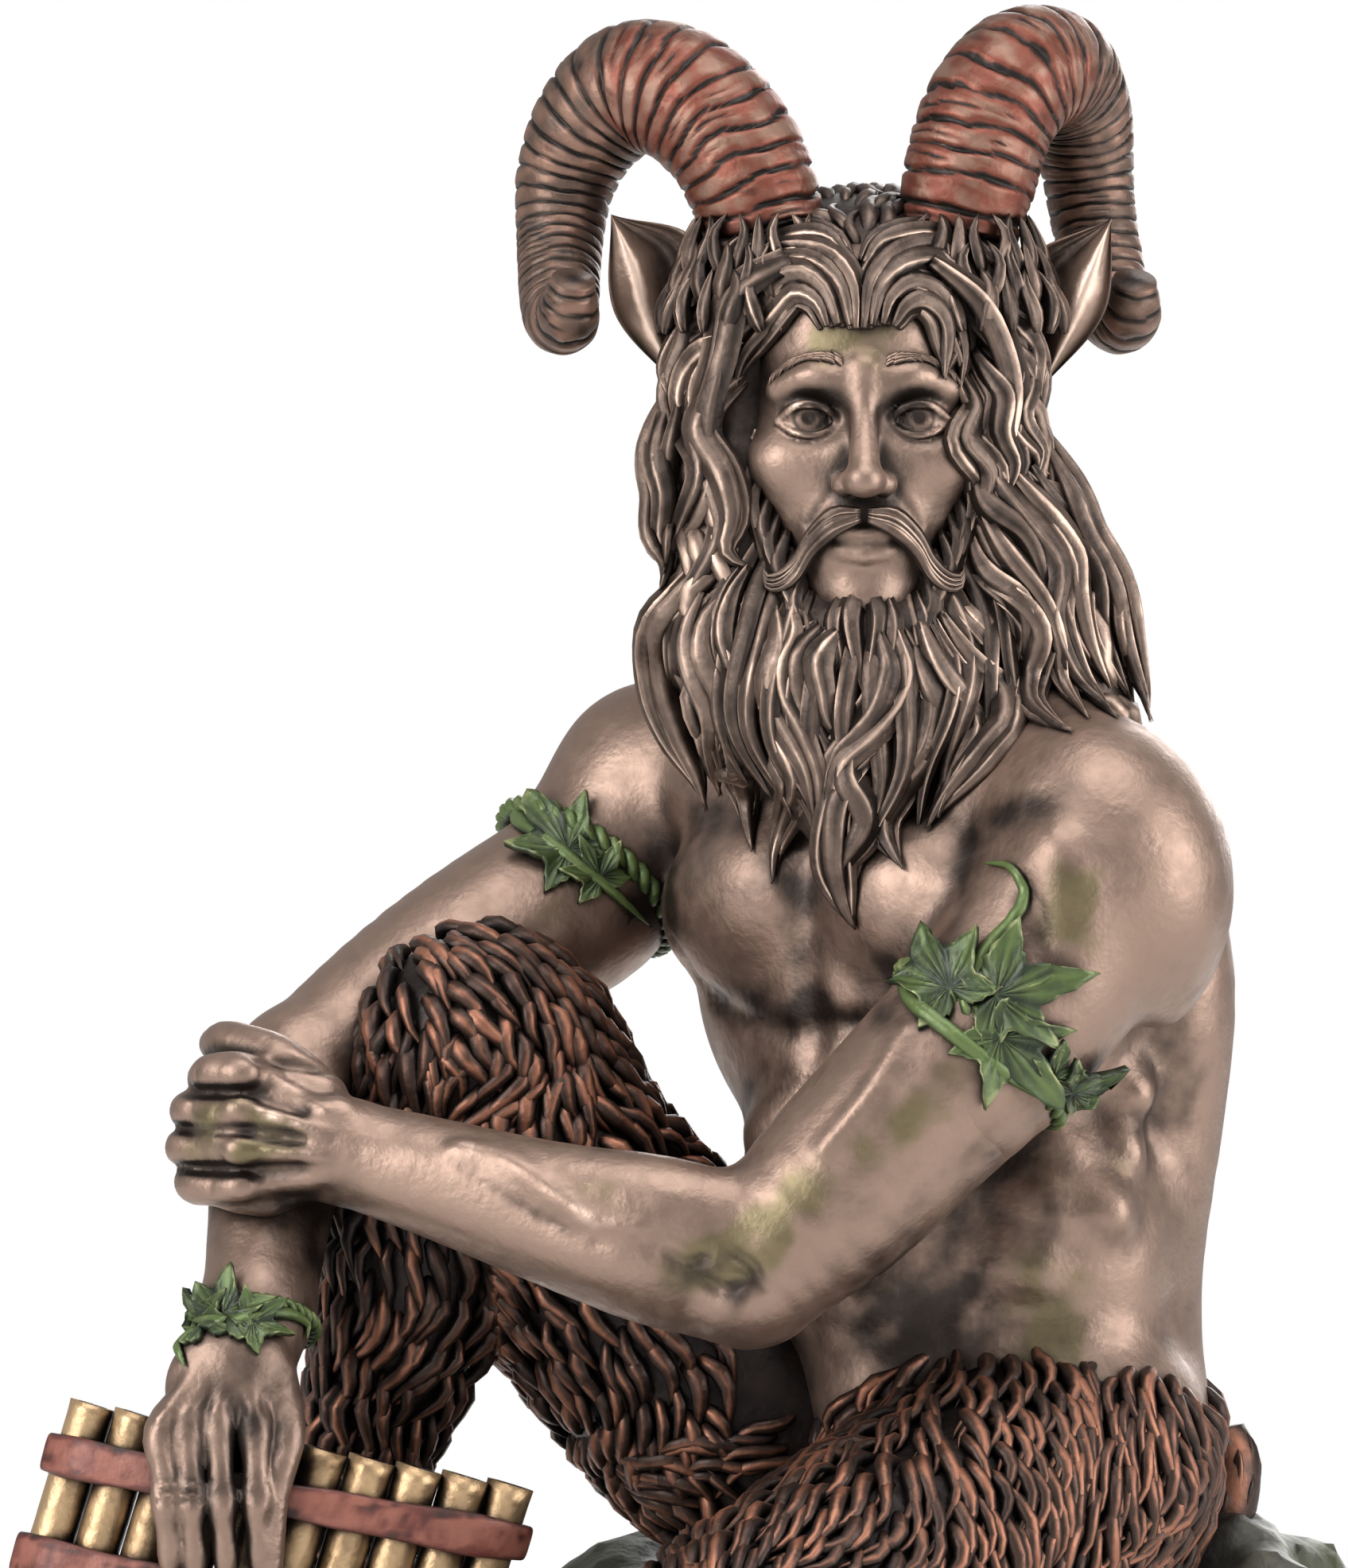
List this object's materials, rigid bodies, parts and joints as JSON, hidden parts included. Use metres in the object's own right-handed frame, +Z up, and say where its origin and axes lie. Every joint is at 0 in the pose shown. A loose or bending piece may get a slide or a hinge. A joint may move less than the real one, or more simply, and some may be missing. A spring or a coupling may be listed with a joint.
{
  "type": "seated satyr figurine",
  "caption": "Seated goat-legged woodland god with ram's horns, long hair and beard, ivy on both arms and reed pipes in the far hand, on a base of rocks, in cold-cast bronze.",
  "frame": {"origin": "middle of the flat underside", "axes": "+Z up, the figure faces -Y with its head and turns its body to -X, +X is the figure's left"},
  "size_m": [0.1296, 0.0942, 0.2199],
  "materials": {
    "bronze_skin": "satin bronze, rubbed bright on the high places",
    "bronze_hair": "dark bronze, ridges rubbed golden",
    "bronze_fur": "near-black brown, ridges rubbed copper red",
    "copper_horn": "copper red, dark in the grooves",
    "green_leaf": "satin leaf green",
    "gold_reed": "rubbed gold over black",
    "red_strap": "matt brick red",
    "stone_base": "dark grey-brown with mossy green"
  },
  "bodies": {
    "root": {"pan_figurine": "bronze_skin"}
  },
  "joints": []
}
